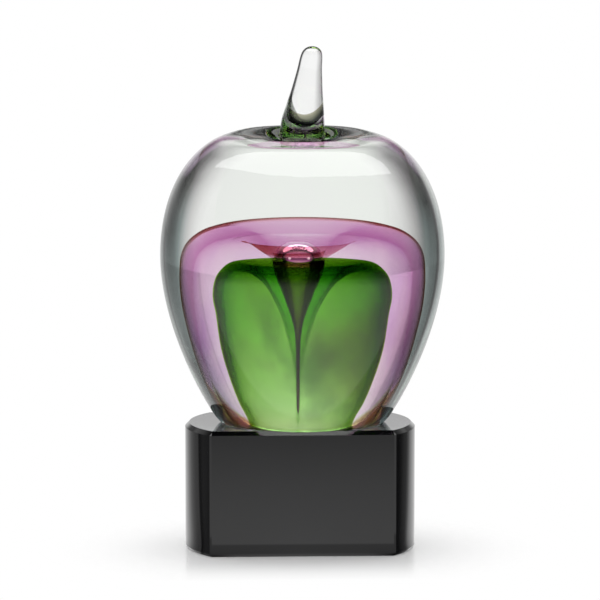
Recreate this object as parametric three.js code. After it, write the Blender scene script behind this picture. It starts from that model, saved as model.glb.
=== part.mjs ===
// An apple award: a solid glass apple with a clear stem, bonded to a black crystal block.
// Inside the apple two bells of coloured glass are cased in clear glass, one within the other.
// Each bell is drawn down its middle into a funnel, round a trumpet of trapped air.
// Millimetres, +Z up, with the origin under the middle of the block; the block's front faces -Y.
import * as THREE from "three";

// Block
const blockHeight = 50;
const blockRadius = 45.8;
const blockHalfDepth = 27.7;
const blockTopBevel = 1.65;
const blockFootBevel = 1.2;
const blockArris = 0.9;

// Bond between the block and the apple; it stays inside the block's top bevels
const bondInset = 1.5;
const bondRadius = blockHalfDepth - blockTopBevel - bondInset;
const bondThickness = 0.3;

// Apple, seen from outside; heights count from the apple's ground foot
const footRadius = 32.4;
const kneeRadius = 36;
const kneeRise = 4.1;
const bellyRadius = 56.5;
const bellyRise = 66.7;
const crestRadius = 17;
const crestRise = 116.7;
const dimpleDepth = 6;
const dimpleSlope = 1.6;

// Stem
const stemHeight = 38.8;
const stemFootRadius = 9.1;
const stemTipRadius = 4.4;
const stemTipRise = 4;
const stemLean = 4;

// Outer colour bell, with the funnel's mouth where the trapped air is widest
const outerBell = {
  footRadius: 17.9,
  bellyRadius: 32.4,
  bellyRise: 58.7,
  crestRadius: 16,
  crestRise: 76,
  mouthRadius: 6.6,
  mouthRise: 66.9,
  tipRise: 37.7,
};
const bubbleCapRise = 4.5;

// Walls of the layers inside the outer bell's surface, and the clearance kept between pieces
const outerWall = { foot: 3, belly: 3.5, crest: 3.8, mouth: 0.6, drop: 2.6, tip: 14 };
const middleWall = { foot: 3.6, belly: 4.8, crest: 6.6, drop: 6.4, tip: 4 };
const innerWall = { foot: 2, belly: 2.3, crest: 2.2, drop: 1.2, tip: 4 };
const clearance = 0.3;

// How far a curve's handles reach, as shares of the distance between its ends
const HANDLE = {
  kneeOut: 0.225,
  kneeUp: 0.11,
  bellyDown: 0.435,
  bellyUp: 0.47,
  crestOut: 0.725,
  bellFootOut: 0.45,
  bellFootUp: 0.34,
  bellBellyDown: 0.34,
  bellBellyUp: 0.64,
  bellCrestOut: 0.7,
  funnelCrestIn: 0.5,
  funnelMouthUp: 0.5,
  trumpetMouthDown: 0.26,
  trumpetTipUp: 0.45,
  tipRadius: 0.15,
  tipUp: 0.6,
  roundOut: 0.55,
};

// Facets
const TURN_STEPS = 36;
const CURVE_STEPS = 5;
const ARC_STEPS = 12;
const STEM_STEPS = 6;
const STEM_SIDES = 24;

const floorZ = blockHeight + bondThickness;

// Body of revolution about +Z. Its [radius, height] profile starts at the top of the axis, comes down
// the outside and goes back to the axis.
function turned(profile) {
  const points = profile.map(([radius, height]) => new THREE.Vector2(radius, height)).reverse();
  return new THREE.LatheGeometry(points, TURN_STEPS).rotateX(Math.PI / 2);
}

// Closed body through rings of equal point counts, with a fan of triangles over each end.
function lofted(rings) {
  const count = rings[0].length;
  const positions = rings.flat().flatMap((point) => point.toArray());
  const indices = [];
  rings.slice(1).forEach((ring, level) => {
    for (let i = 0; i < count; i++) {
      const next = (i + 1) % count;
      const low = level * count;
      const high = low + count;
      indices.push(low + i, low + next, high + next);
      indices.push(low + i, high + next, high + i);
    }
  });
  const last = (rings.length - 1) * count;
  for (let i = 1; i < count - 1; i++) {
    indices.push(0, i + 1, i);
    indices.push(last, last + i, last + i + 1);
  }
  const geometry = new THREE.BufferGeometry();
  geometry.setAttribute("position", new THREE.Float32BufferAttribute(positions, 3));
  geometry.setIndex(indices);
  geometry.computeVertexNormals();
  return geometry;
}

// Points of a cubic curve through four [radius, height] pairs, without its first point.
function cubic(start, startHandle, endHandle, end, steps = CURVE_STEPS) {
  const vectors = [start, startHandle, endHandle, end].map(([x, y]) => new THREE.Vector2(x, y));
  const curve = new THREE.CubicBezierCurve(...vectors);
  return curve
    .getPoints(steps)
    .slice(1)
    .map((point) => [point.x, point.y]);
}

// The block's outline, drawn in by inset: two round ends, two flats and a small arris at each corner.
function blockOutline(inset, z) {
  const radius = blockRadius - inset;
  const depth = blockHalfDepth - inset;
  const corner = Math.asin(depth / radius);
  const roundEnd = corner - blockArris / 2 / radius;
  const flatEnd = radius * Math.cos(corner) - blockArris / 2;
  const points = [];
  for (const side of [1, -1]) {
    points.push(new THREE.Vector3(side * flatEnd, -side * depth, z));
    for (let i = 0; i <= ARC_STEPS; i++) {
      const angle = THREE.MathUtils.lerp(-roundEnd, roundEnd, i / ARC_STEPS);
      const x = side * radius * Math.cos(angle);
      const y = side * radius * Math.sin(angle);
      points.push(new THREE.Vector3(x, y, z));
    }
    points.push(new THREE.Vector3(side * flatEnd, side * depth, z));
  }
  return points;
}

function blockGeometry() {
  return lofted([
    blockOutline(blockFootBevel, 0),
    blockOutline(0, blockFootBevel),
    blockOutline(0, blockHeight - blockTopBevel),
    blockOutline(blockTopBevel, blockHeight),
  ]);
}

// The apple's outside, from the middle of the dimple out over the crest and down to the foot.
function appleProfile() {
  const knee = [kneeRadius, kneeRise];
  const belly = [bellyRadius, bellyRise];
  const crest = [crestRadius, crestRise];
  const flare = bellyRadius - kneeRadius;
  const climb = bellyRise - kneeRise;
  const shoulder = bellyRadius - crestRadius;
  const crown = crestRise - bellyRise;
  const seatRise = crestRise - dimpleDepth;
  const seatRadius = stemFootRadius + dimpleSlope;
  const lip = (crestRadius - seatRadius) * HANDLE.roundOut;
  return [
    [0, seatRise],
    [seatRadius, seatRise],
    ...cubic([seatRadius, seatRise], [seatRadius + lip, seatRise], [crestRadius - lip, crestRise], crest, 4),
    ...cubic(
      crest,
      [crestRadius + shoulder * HANDLE.crestOut, crestRise],
      [bellyRadius, bellyRise + crown * HANDLE.bellyUp],
      belly,
      8,
    ),
    ...cubic(
      belly,
      [bellyRadius, bellyRise - climb * HANDLE.bellyDown],
      [kneeRadius + flare * HANDLE.kneeOut, kneeRise + climb * HANDLE.kneeUp],
      knee,
      7,
    ),
    [footRadius, 0],
  ];
}

// The bell's side, from its foot out to the belly and up over to the crest.
function bellSide(bell) {
  const flare = bell.bellyRadius - bell.footRadius;
  const shoulder = bell.bellyRadius - bell.crestRadius;
  const crown = bell.crestRise - bell.bellyRise;
  const belly = [bell.bellyRadius, bell.bellyRise];
  return [
    [bell.footRadius, 0],
    ...cubic(
      [bell.footRadius, 0],
      [bell.footRadius + flare * HANDLE.bellFootOut, bell.bellyRise * HANDLE.bellFootUp],
      [bell.bellyRadius, bell.bellyRise * (1 - HANDLE.bellBellyDown)],
      belly,
    ),
    ...cubic(
      belly,
      [bell.bellyRadius, bell.bellyRise + crown * HANDLE.bellBellyUp],
      [bell.crestRadius + shoulder * HANDLE.bellCrestOut, bell.crestRise],
      [bell.crestRadius, bell.crestRise],
    ),
  ];
}

// From the crest in and down to the mouth of the trumpet.
function funnelToMouth(bell) {
  const span = bell.crestRadius - bell.mouthRadius;
  const fall = bell.crestRise - bell.mouthRise;
  return cubic(
    [bell.crestRadius, bell.crestRise],
    [bell.crestRadius - span * HANDLE.funnelCrestIn, bell.crestRise],
    [bell.mouthRadius, bell.mouthRise + fall * HANDLE.funnelMouthUp],
    [bell.mouthRadius, bell.mouthRise],
    4,
  );
}

// From the mouth down to the trumpet's tip on the axis.
function trumpetToTip(bell) {
  const length = bell.mouthRise - bell.tipRise;
  return cubic(
    [bell.mouthRadius, bell.mouthRise],
    [bell.mouthRadius, bell.mouthRise - length * HANDLE.trumpetMouthDown],
    [0, bell.tipRise + length * HANDLE.trumpetTipUp],
    [0, bell.tipRise],
    5,
  );
}

// A funnel with no mouth of its own: one sweep from the crest down to the tip on the axis.
function funnelToTip(bell) {
  const length = bell.crestRise - bell.tipRise;
  return cubic(
    [bell.crestRadius, bell.crestRise],
    [bell.crestRadius * (1 - HANDLE.funnelCrestIn), bell.crestRise],
    [bell.crestRadius * HANDLE.tipRadius, bell.tipRise + length * HANDLE.tipUp],
    [0, bell.tipRise],
    9,
  );
}

// The surface one wall further in: the bell shrinks all round and its funnel grows by the same wall.
function inside(bell, wall) {
  return {
    footRadius: bell.footRadius - wall.foot,
    bellyRadius: bell.bellyRadius - wall.belly,
    bellyRise: bell.bellyRise - wall.drop,
    crestRadius: bell.crestRadius,
    crestRise: bell.crestRise - wall.crest,
    mouthRadius: bell.mouthRadius + wall.mouth,
    mouthRise: bell.mouthRise - wall.drop,
    tipRise: bell.tipRise - wall.tip,
  };
}

const gapWall = {
  foot: clearance,
  belly: clearance,
  crest: clearance,
  mouth: clearance,
  drop: 0,
  tip: 2 * clearance,
};
const openWall = {
  foot: -clearance,
  belly: -clearance,
  crest: -clearance,
  mouth: -clearance,
  drop: 0,
  tip: 0,
};

// Bounding surfaces of the layers, from the outside inwards.
const outerInside = inside(outerBell, outerWall);
const middleOutside = inside(outerInside, gapWall);
const middleInside = inside(outerInside, { ...middleWall, mouth: 0 });
const innerOutside = inside(middleInside, { ...gapWall, mouth: 0 });
const innerInside = inside(innerOutside, { ...innerWall, mouth: 0 });
const coreOutside = inside(innerInside, { ...gapWall, mouth: 0 });

// A layer's closed profile: up its outer surface from the tip to the foot, then back along its inner one.
function layer(outerCurve, innerCurve) {
  return [...outerCurve].reverse().concat(innerCurve);
}

// Clear casing: the apple's outside, with the room for the outer bell and the top half of the bubble.
function casingProfile() {
  const room = inside(outerBell, openWall);
  const capTop = room.mouthRise + bubbleCapRise;
  const cap = cubic(
    [room.mouthRadius, room.mouthRise],
    [room.mouthRadius, room.mouthRise + bubbleCapRise * HANDLE.roundOut],
    [room.mouthRadius * HANDLE.roundOut, capTop],
    [0, capTop],
    4,
  );
  return [...appleProfile(), ...bellSide(room), ...funnelToMouth(room), ...cap];
}

function outerBellProfile() {
  const airSide = [...bellSide(outerBell), ...funnelToMouth(outerBell), ...trumpetToTip(outerBell)];
  const glassSide = [...bellSide(outerInside), ...funnelToMouth(outerInside), ...trumpetToTip(outerInside)];
  return layer(airSide, glassSide);
}

function middleProfile() {
  const near = [...bellSide(middleOutside), ...funnelToMouth(middleOutside), ...trumpetToTip(middleOutside)];
  const far = [...bellSide(middleInside), ...funnelToTip(middleInside)];
  return layer(near, far);
}

function innerBellProfile() {
  const near = [...bellSide(innerOutside), ...funnelToTip(innerOutside)];
  const far = [...bellSide(innerInside), ...funnelToTip(innerInside)];
  return layer(near, far);
}

function coreProfile() {
  return layer([...bellSide(coreOutside), ...funnelToTip(coreOutside)], [[0, 0]]);
}

// Stem: round sections swept up a leaning line, closed by a rounded tip.
function stemGeometry() {
  const bodyTop = stemHeight - stemTipRise;
  const line = new THREE.QuadraticBezierCurve3(
    new THREE.Vector3(0, 0, 0),
    new THREE.Vector3(0, 0, bodyTop / 2),
    new THREE.Vector3(stemLean, 0, bodyTop),
  );
  const width = new THREE.CubicBezierCurve(
    new THREE.Vector2(stemFootRadius, 0),
    new THREE.Vector2(stemFootRadius, 1 / 3),
    new THREE.Vector2(stemTipRadius, 2 / 3),
    new THREE.Vector2(stemTipRadius, 1),
  );
  const section = (middle, radius) => {
    const ring = [];
    for (let i = 0; i < STEM_SIDES; i++) {
      const angle = (i / STEM_SIDES) * 2 * Math.PI;
      ring.push(
        new THREE.Vector3(radius * Math.cos(angle), radius * Math.sin(angle), 0).add(middle),
      );
    }
    return ring;
  };
  const rings = [];
  for (let i = 0; i <= STEM_STEPS; i++) {
    const t = i / STEM_STEPS;
    rings.push(section(line.getPoint(t), width.getPoint(t).x));
  }
  for (let i = 1; i < STEM_STEPS; i++) {
    const angle = (i / STEM_STEPS) * (Math.PI / 2);
    const rise = new THREE.Vector3(0, 0, stemTipRise * Math.sin(angle));
    rings.push(section(line.getPoint(1).add(rise), stemTipRadius * Math.cos(angle)));
  }
  return lofted(rings);
}

const blackCrystal = new THREE.MeshStandardMaterial({ color: 0x0c0c0e, roughness: 0.05, metalness: 0 });
const curedBond = new THREE.MeshStandardMaterial({ color: 0xdfe4df, roughness: 0.2, metalness: 0 });
const pinkGlass = new THREE.MeshStandardMaterial({ color: 0xc88ec0, roughness: 0.03, metalness: 0 });
const greenGlass = new THREE.MeshStandardMaterial({ color: 0x63b53c, roughness: 0.03, metalness: 0 });
const clearGlass = new THREE.MeshStandardMaterial({
  color: 0xeef2ef,
  roughness: 0.02,
  metalness: 0,
  transparent: true,
  opacity: 0.35,
});

const award = new THREE.Group();

function addPiece(name, geometry, material, z) {
  const piece = new THREE.Mesh(geometry, material);
  piece.name = name;
  piece.position.z = z;
  award.add(piece);
}

const bondProfile = [
  [0, bondThickness],
  [bondRadius, bondThickness],
  [bondRadius, 0],
  [0, 0],
];

addPiece("base_block", blockGeometry(), blackCrystal, 0);
addPiece("bond_film", turned(bondProfile), curedBond, blockHeight);
addPiece("clear_casing", turned(casingProfile()), clearGlass, floorZ);
addPiece("pink_bell", turned(outerBellProfile()), pinkGlass, floorZ);
addPiece("clear_middle", turned(middleProfile()), clearGlass, floorZ);
addPiece("green_bell", turned(innerBellProfile()), greenGlass, floorZ);
addPiece("clear_core", turned(coreProfile()), clearGlass, floorZ);
addPiece("stem", stemGeometry(), clearGlass, floorZ + crestRise - dimpleDepth);

export default award;
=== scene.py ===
# Looks for the apple award: a clear glass apple cased round a pink and a green bell and a trumpet
# of trapped air, with a glass stem, on a polished black crystal block.
import math

import bpy
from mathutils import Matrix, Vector


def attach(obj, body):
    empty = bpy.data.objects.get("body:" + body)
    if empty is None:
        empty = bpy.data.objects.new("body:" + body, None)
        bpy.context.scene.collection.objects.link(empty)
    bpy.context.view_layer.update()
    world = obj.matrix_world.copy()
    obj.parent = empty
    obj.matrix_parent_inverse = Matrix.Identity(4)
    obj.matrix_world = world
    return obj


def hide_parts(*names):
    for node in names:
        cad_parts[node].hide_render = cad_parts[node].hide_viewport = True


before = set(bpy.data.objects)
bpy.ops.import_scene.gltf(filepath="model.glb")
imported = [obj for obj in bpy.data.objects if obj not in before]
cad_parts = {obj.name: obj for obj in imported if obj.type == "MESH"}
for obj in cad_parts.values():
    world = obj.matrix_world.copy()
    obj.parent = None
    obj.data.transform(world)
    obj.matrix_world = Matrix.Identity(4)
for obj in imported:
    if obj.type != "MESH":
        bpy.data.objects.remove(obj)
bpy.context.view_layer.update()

MM = 0.001
UP = (0.0, 0.0, 1.0)
WHITE = (1.0, 1.0, 1.0)
BLACK = (0.0, 0.0, 0.0)

# Sizes in millimetres. Heights are above the surface that the award stands on.
BLOCK_RADIUS = 45.8
BLOCK_HALF_DEPTH = 27.7
BLOCK_HEIGHT = 50
CORNER_ARRIS = 0.5
TOP_BEVEL = 1.65
FOOT_BEVEL = 1.2
# The apple stands a little right of the block's middle, and its funnel a little left of its axis.
APPLE_X = 0.95
FUNNEL_X = -1.15
APPLE_FOOT = 50.3
HOLLOW_FLOOR = 161.0
LIP_RADIUS = 17.0
LIP_HEIGHT = 167.0
LIP_DROP = 3.9
# The pink stops this far short of the trapped air.
AIR_GAP = 0.12

# How many steps each turned or drawn piece has round its axis.
APPLE_STEPS = 160
BELL_STEPS = 144
AIR_STEPS = 96
STEM_STEPS = 64
BLOCK_STEPS = 256

GLASS_IOR = 1.5

# Metres times one of these run from 0 to 1 over that length, as a ramp needs.
OVER_200_MM = 5.0
OVER_100_MM = 10.0
OVER_10_MM = 100.0

# The camera that was fitted to the photo's edges: degrees, metres and pixels.
CAMERA_RISE = 6.8
CAMERA_TURN = 2.45
CAMERA_AWAY = 1.85
CAMERA_AIM = (0, 0, 0.09866)
SENSOR_WIDTH = 36
FOCAL_PIXELS = 4653.7
PICTURE_PIXELS = 600

# The soft light overhead, in metres.
LIGHT_HEIGHT = 1.2
LIGHT_BACK = 0.25


def ease(value, start, end):
    t = max(0.0, min(1.0, (value - start) / (end - start)))
    return t * t * (3 - 2 * t)


def smooth_run(points, fill):
    """The (radius, height) points joined by an even curve, with `fill` steps to each span."""
    run = []
    last = len(points) - 1
    for i in range(last):
        before, start, end, after = (points[max(0, min(last, k))] for k in range(i - 1, i + 3))
        span = math.dist(start, end)
        run_in = max(1e-6, math.dist(before, start) + span)
        run_out = max(1e-6, math.dist(end, after) + span)
        lead = [(end[a] - before[a]) / run_in * span for a in (0, 1)]
        tail = [(after[a] - start[a]) / run_out * span for a in (0, 1)]
        for step in range(fill):
            t = step / fill
            h1 = 2 * t**3 - 3 * t**2 + 1
            h2 = t**3 - 2 * t**2 + t
            h3 = -2 * t**3 + 3 * t**2
            h4 = t**3 - t**2
            here = (h1 * start[a] + h2 * lead[a] + h3 * end[a] + h4 * tail[a] for a in (0, 1))
            run.append(tuple(here))
    run.append(tuple(points[-1]))
    return run


def curve_run(start, handle_a, handle_b, end, steps):
    """Points of a cubic curve, without its first."""
    run = []
    for step in range(1, steps + 1):
        t = step / steps
        u = 1 - t
        h1, h2, h3, h4 = u**3, 3 * u * u * t, 3 * u * t * t, t**3
        here = (h1 * start[a] + h2 * handle_a[a] + h3 * handle_b[a] + h4 * end[a] for a in (0, 1))
        run.append(tuple(here))
    return run


def lay_down_tools():
    if bpy.context.object and bpy.context.object.mode != "OBJECT":
        bpy.ops.object.mode_set(mode="OBJECT")
    bpy.ops.object.select_all(action="DESELECT")


def pick_up(piece):
    lay_down_tools()
    piece.select_set(True)
    bpy.context.view_layer.objects.active = piece


def start_point(name, radius, height):
    """A new piece in edit mode that is one corner, at that radius and height."""
    lay_down_tools()
    bpy.ops.mesh.primitive_plane_add(size=MM, location=(0, 0, 0))
    piece = bpy.context.object
    piece.name = name
    piece.data.name = name
    bpy.ops.object.mode_set(mode="EDIT")
    bpy.ops.mesh.select_mode(type="VERT")
    bpy.ops.mesh.select_all(action="SELECT")
    bpy.ops.mesh.merge(type="CENTER")
    bpy.ops.transform.translate(value=(radius * MM, 0, height * MM))
    return piece


def turned(name, profile, steps, inward=False):
    """A body of revolution: a profile extruded from one corner and spun round the upright axis."""
    piece = start_point(name, *profile[0])
    for before, after in zip(profile, profile[1:]):
        move = ((after[0] - before[0]) * MM, 0, (after[1] - before[1]) * MM)
        bpy.ops.mesh.extrude_region_move(TRANSFORM_OT_translate={"value": move})
    bpy.ops.mesh.select_all(action="SELECT")
    bpy.ops.mesh.spin(steps=steps, angle=2 * math.pi, center=(0, 0, 0), axis=UP)
    bpy.ops.mesh.select_all(action="SELECT")
    bpy.ops.mesh.remove_doubles(threshold=1e-6)
    bpy.ops.mesh.normals_make_consistent(inside=inward)
    bpy.ops.object.mode_set(mode="OBJECT")
    return piece


def shift(piece, x, radius=None):
    """Moves the piece along X; with a radius, only what lies near the axis, fading out to it."""
    for vertex in piece.data.vertices:
        share = 1.0
        if radius:
            share = ease(1.0 - math.hypot(vertex.co.x, vertex.co.y) / (radius * MM), 0.0, 1.0)
        vertex.co.x += x * MM * share


def finish_piece(piece, material, parts, crease):
    """Smooths and surfaces the piece, and hides the solids that it stands for."""
    pick_up(piece)
    bpy.ops.object.shade_smooth_by_angle(angle=math.radians(crease), keep_sharp_edges=False)
    piece.data.materials.clear()
    piece.data.materials.append(material)
    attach(piece, "root")
    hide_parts(*parts)
    lay_down_tools()


def new_material(name):
    material = bpy.data.materials.new(name)
    material.use_nodes = True
    tree = material.node_tree
    return material, tree, tree.nodes["Principled BSDF"], tree.nodes["Material Output"]


def feed(tree, socket, value):
    """Puts a number, a colour or what comes out of another node into a node's socket."""
    if isinstance(value, bpy.types.NodeSocket):
        tree.links.new(value, socket)
    elif isinstance(value, tuple):
        socket.default_value = (*value, 1.0)
    else:
        socket.default_value = value


def add_node(tree, kind, **values):
    """A new node, with each value as its setting or fed to its socket of that name."""
    node = tree.nodes.new(kind)
    for key, value in values.items():
        if hasattr(node, key):
            setattr(node, key, value)
        else:
            feed(tree, node.inputs[key], value)
    return node


def math_node(tree, operation, *values):
    node = add_node(tree, "ShaderNodeMath", operation=operation)
    for socket, value in zip(node.inputs, values):
        feed(tree, socket, value)
    return node.outputs[0]


def plus(tree, value, amount):
    return math_node(tree, "ADD", value, amount)


def less(tree, value, amount):
    return math_node(tree, "SUBTRACT", value, amount)


def times(tree, first, *others):
    """The product. Of masks it is where all of them hold."""
    for other in others:
        first = math_node(tree, "MULTIPLY", first, other)
    return first


def over(tree, value, limit):
    return math_node(tree, "GREATER_THAN", value, limit)


def under(tree, value, limit):
    return math_node(tree, "LESS_THAN", value, limit)


def squared(tree, value, centre=0.0):
    off = less(tree, value, centre)
    return times(tree, off, off)


def ramp(tree, along, stops):
    """Each stop is a place along the ramp with a grey level or a colour."""
    node = tree.nodes.new("ShaderNodeValToRGB")
    bar = node.color_ramp
    while len(bar.elements) < len(stops):
        bar.elements.new(0.5)
    for element, (place, shade) in zip(bar.elements, stops):
        element.position = place
        element.color = (*shade, 1.0) if isinstance(shade, tuple) else (shade, shade, shade, 1.0)
    feed(tree, node.inputs["Fac"], along)
    return node.outputs["Color"]


def blend(tree, share, first, second, kind="MIX"):
    mix = add_node(tree, "ShaderNodeMix", data_type="RGBA", blend_type=kind)
    for number, value in ((0, share), (6, first), (7, second)):
        feed(tree, mix.inputs[number], value)
    return mix.outputs[2]


def tinted(tree, first, *others):
    for other in others:
        first = blend(tree, 1.0, first, other, "MULTIPLY")
    return first


def only_at(tree, mask, tint):
    """The tint where the mask holds, and none elsewhere."""
    return blend(tree, mask, WHITE, tint)


def by_side(tree, right, along, left_stops, right_stops):
    """One ramp on the left of the piece and another on the right."""
    return blend(tree, right, ramp(tree, along, left_stops), ramp(tree, along, right_stops))


def apart(tree, vector):
    parts = add_node(tree, "ShaderNodeSeparateXYZ")
    feed(tree, parts.inputs[0], vector)
    return parts.outputs


def spot_on_piece(tree):
    return add_node(tree, "ShaderNodeTexCoord").outputs["Object"]


def length(tree, vector):
    node = add_node(tree, "ShaderNodeVectorMath", operation="LENGTH")
    feed(tree, node.inputs[0], vector)
    return node.outputs["Value"]


def reach_out(tree, x, y, axis=APPLE_X):
    """Distance from the upright axis at that X, in millimetres over 100."""
    squares = plus(tree, squared(tree, x, axis * MM), squared(tree, y))
    return times(tree, math_node(tree, "SQRT", squares), OVER_100_MM)


def about_middle(tree, value):
    """Runs from 0 to 1 over 100 mm, with 0.5 in the middle."""
    return plus(tree, times(tree, value, OVER_100_MM), 0.5)


def turned_away(tree):
    """0 where the surface faces the eye, 1 along its outline."""
    return add_node(tree, "ShaderNodeLayerWeight", Blend=0.5).outputs["Facing"]


def new_group(name, given):
    """A node group and what is given to it: numbers with their defaults, or vectors, at None."""
    group = bpy.data.node_groups.new(name, "ShaderNodeTree")
    for label, value in given.items():
        kind = "NodeSocketVector" if value is None else "NodeSocketFloat"
        socket = group.interface.new_socket(label, in_out="INPUT", socket_type=kind)
        if value is not None:
            socket.default_value = value
    return group, group.nodes.new("NodeGroupInput").outputs


def give_out(group, results):
    for label in results:
        group.interface.new_socket(label, in_out="OUTPUT", socket_type="NodeSocketFloat")
    end = group.nodes.new("NodeGroupOutput")
    for label, value in results.items():
        feed(group, end.inputs[label], value)
    return group


def use_group(tree, group, **values):
    return add_node(tree, "ShaderNodeGroup", node_tree=group, **values).outputs


def glass(name, ior, body_colour, density):
    """Smooth glass with a colour that deepens with the thickness of the glass."""
    material, tree, shader, output = new_material(name)
    shader.inputs["Roughness"].default_value = 0.0
    shader.inputs["IOR"].default_value = ior
    shader.inputs["Transmission Weight"].default_value = 1.0
    body = add_node(tree, "ShaderNodeVolumeAbsorption", Color=body_colour, Density=density)
    feed(tree, output.inputs["Volume"], body.outputs["Volume"])
    return material, tree, shader


def clear_glass():
    material, tree, shader = glass("clear_glass", GLASS_IOR, (0.775, 0.84, 0.755), 4.0)
    x, y, z = apart(tree, spot_on_piece(tree))
    height = times(tree, z, OVER_200_MM)
    reach = reach_out(tree, x, y)
    facing = turned_away(tree)
    # below, painted light and shade on the clear glass: outline, hollow, foot, stem and bubble
    surface = painted_rim_shade(tree, x, height, reach, facing)
    dark, shelf, pale = painted_hollow_light(tree, x, y, z, reach)
    surface = blend(tree, shelf, tinted(tree, surface, dark), pale)
    surface = tinted(tree, surface, painted_foot_shade(tree, x, y, z))
    in_stem, painted_stem_light = painted_stem_view(tree, x, z, height, reach, facing)
    surface = blend(tree, in_stem, surface, painted_stem_light)
    inside = add_node(tree, "ShaderNodeNewGeometry").outputs["Backfacing"]
    surface = blend(tree, inside, surface, painted_bubble_light(tree, z, height, reach))
    feed(tree, shader.inputs["Base Color"], surface)
    return material


def painted_rim_shade(tree, x, height, reach, facing):
    """Painted shade: the dark band that solid glass shows towards its outline, deep by the
    shoulders and light by the foot."""
    right = over(tree, x, 0.0)
    # near the top the band draws in against the outline
    inset = ramp(tree, height, [(0.745, 0.0), (0.79, 0.055), (0.82, 0.24), (0.84, 0.26)])
    # on the right of the shoulders a painted paler strip lies outside the painted dark one
    shoulder = by_side(
        tree, right, less(tree, facing, inset),
        [
            (0.30, 1.0), (0.345, 0.88), (0.41, 0.60), (0.469, 0.32), (0.514, 0.125),
            (0.567, 0.025), (0.62, 0.008), (0.66, 0.004), (0.74, 0.003), (0.76, 0.010),
        ],
        [
            (0.30, 1.0), (0.345, 0.86), (0.41, 0.50), (0.469, 0.22), (0.514, 0.085), (0.567, 0.022),
            (0.62, 0.008), (0.68, 0.002), (0.705, 0.02), (0.75, 0.12), (0.82, 0.20),
        ],
    )
    foot = ramp(tree, facing, [
        (0.33, 1.0), (0.41, 0.93), (0.469, 0.80), (0.514, 0.66), (0.567, 0.46), (0.657, 0.36),
        (0.78, 0.30), (1.0, 0.60),
    ])
    lowest = by_side(
        tree, right, facing,
        [
            (0.33, 1.0), (0.41, 0.93), (0.469, 0.70), (0.567, 0.20), (0.657, 0.02), (0.71, 0.004),
            (0.735, 0.0075), (0.765, 0.03), (0.79, 0.075), (0.85, 0.39), (0.93, 1.0),
        ],
        [
            (0.33, 1.0), (0.41, 0.93), (0.469, 0.80), (0.567, 0.40), (0.657, 0.10), (0.72, 0.02),
            (0.74, 0.017), (0.765, 0.25), (0.79, 0.063), (0.85, 0.20), (0.93, 0.60),
        ],
    )
    foot = blend(tree, ramp(tree, height, [(0.38, 1.0), (0.47, 0.0)]), foot, lowest)
    rise = by_side(
        tree, right, height,
        [
            (0.30, 0.0), (0.35, 0.25), (0.425, 0.70), (0.50, 0.82), (0.64, 1.0), (0.80, 1.0),
            (0.84, 0.6),
        ],
        [(0.30, 0.0), (0.35, 0.25), (0.425, 0.62), (0.58, 0.74), (0.70, 1.0), (0.84, 0.8)],
    )
    band = blend(tree, rise, foot, shoulder)
    # a fine painted dark line runs down inside each outline
    line = by_side(
        tree, right, facing,
        [(0.73, 1.0), (0.755, 0.12), (0.78, 0.12), (0.80, 1.0)],
        [(0.65, 1.0), (0.685, 0.06), (0.715, 0.06), (0.74, 1.0)],
    )
    band = tinted(tree, band, line)
    # thick clear glass is faintly blue-green
    cool = times(
        tree,
        ramp(tree, height, [(0.66, 1.0), (0.74, 0.0)]),
        ramp(tree, facing, [(0.42, 0.0), (0.52, 1.0)]),
    )
    band = blend(tree, cool, band, (0.74, 0.98, 1.0), "MULTIPLY")
    # high on the shoulders the pink is seen along the outline as a lilac strip, painted here as a
    # reflection
    strip = times(
        tree,
        ramp(tree, height, [(0.745, 0.0), (0.775, 1.0)]),
        ramp(tree, facing, [(0.66, 0.0), (0.72, 1.0)]),
        ramp(tree, reach, [(0.34, 0.0), (0.38, 1.0)]),
    )
    band = blend(tree, strip, band, (0.20, 0.125, 0.22))
    # painted light keeps the broad top between the hollow and the shoulders lighter
    broad = times(
        tree,
        ramp(tree, height, [(0.798, 0.0), (0.806, 1.0)]),
        ramp(
            tree,
            reach,
            [(0.14, 0.15), (0.17, 0.55), (0.20, 1.0), (0.26, 0.80), (0.32, 0.25), (0.38, 0.0)],
        ),
    )
    lighter = blend(tree, 1.0, band, (0.36, 0.37, 0.36), "LIGHTEN")
    return blend(tree, broad, band, lighter)


def painted_hollow_light(tree, x, y, z, reach):
    """Painted shade makes the hollow's back wall dark. Painted light makes the shelf before it
    pale, and a painted reflection of the pink shows as a crescent under its front lip."""
    hollow = over(tree, z, 159.0 * MM)
    wall = times(
        tree,
        ramp(tree, reach, [(0.0, 1.0), (0.17, 1.0), (0.21, 0.0)]),
        ramp(tree, about_middle(tree, x), [(0.345, 0.0), (0.38, 1.0), (0.655, 1.0), (0.68, 0.0)]),
        hollow,
        over(tree, y, -10.0 * MM),
    )
    dark = only_at(tree, wall, (0.03, 0.055, 0.055))
    shelf = times(
        tree,
        ramp(tree, reach, [(0.166, 0.0), (0.172, 1.0), (0.34, 1.0), (0.37, 0.0)]),
        hollow,
        ramp(tree, times(tree, y, -OVER_10_MM), [(0.0, 0.0), (0.5, 1.0)]),
    )
    # the crescent's front edge is a curve across the shelf
    bend = times(tree, squared(tree, x, 0.3 * MM), 165.0)
    behind_edge = less(tree, less(tree, y, bend), -35.2 * MM)
    crescent = times(
        tree,
        ramp(tree, times(tree, behind_edge, OVER_10_MM), [(0.0, 0.0), (0.10, 1.0)]),
        under(tree, y, 0.0),
        over(tree, reach, 0.168),
        over(tree, z, 160.5 * MM),
    )
    pale = blend(tree, crescent, (0.72, 0.74, 0.70), (0.62, 0.17, 0.42))
    return dark, shelf, pale


def painted_foot_shade(tree, x, y, z):
    """Painted shade: short dark facets at the two sides of the clear foot."""
    facet = times(
        tree,
        over(tree, math_node(tree, "ABSOLUTE", x), 31.2 * MM),
        under(tree, z, 59.5 * MM),
        under(tree, y, 6.0 * MM),
    )
    return only_at(tree, facet, (0.045, 0.09, 0.10))


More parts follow.
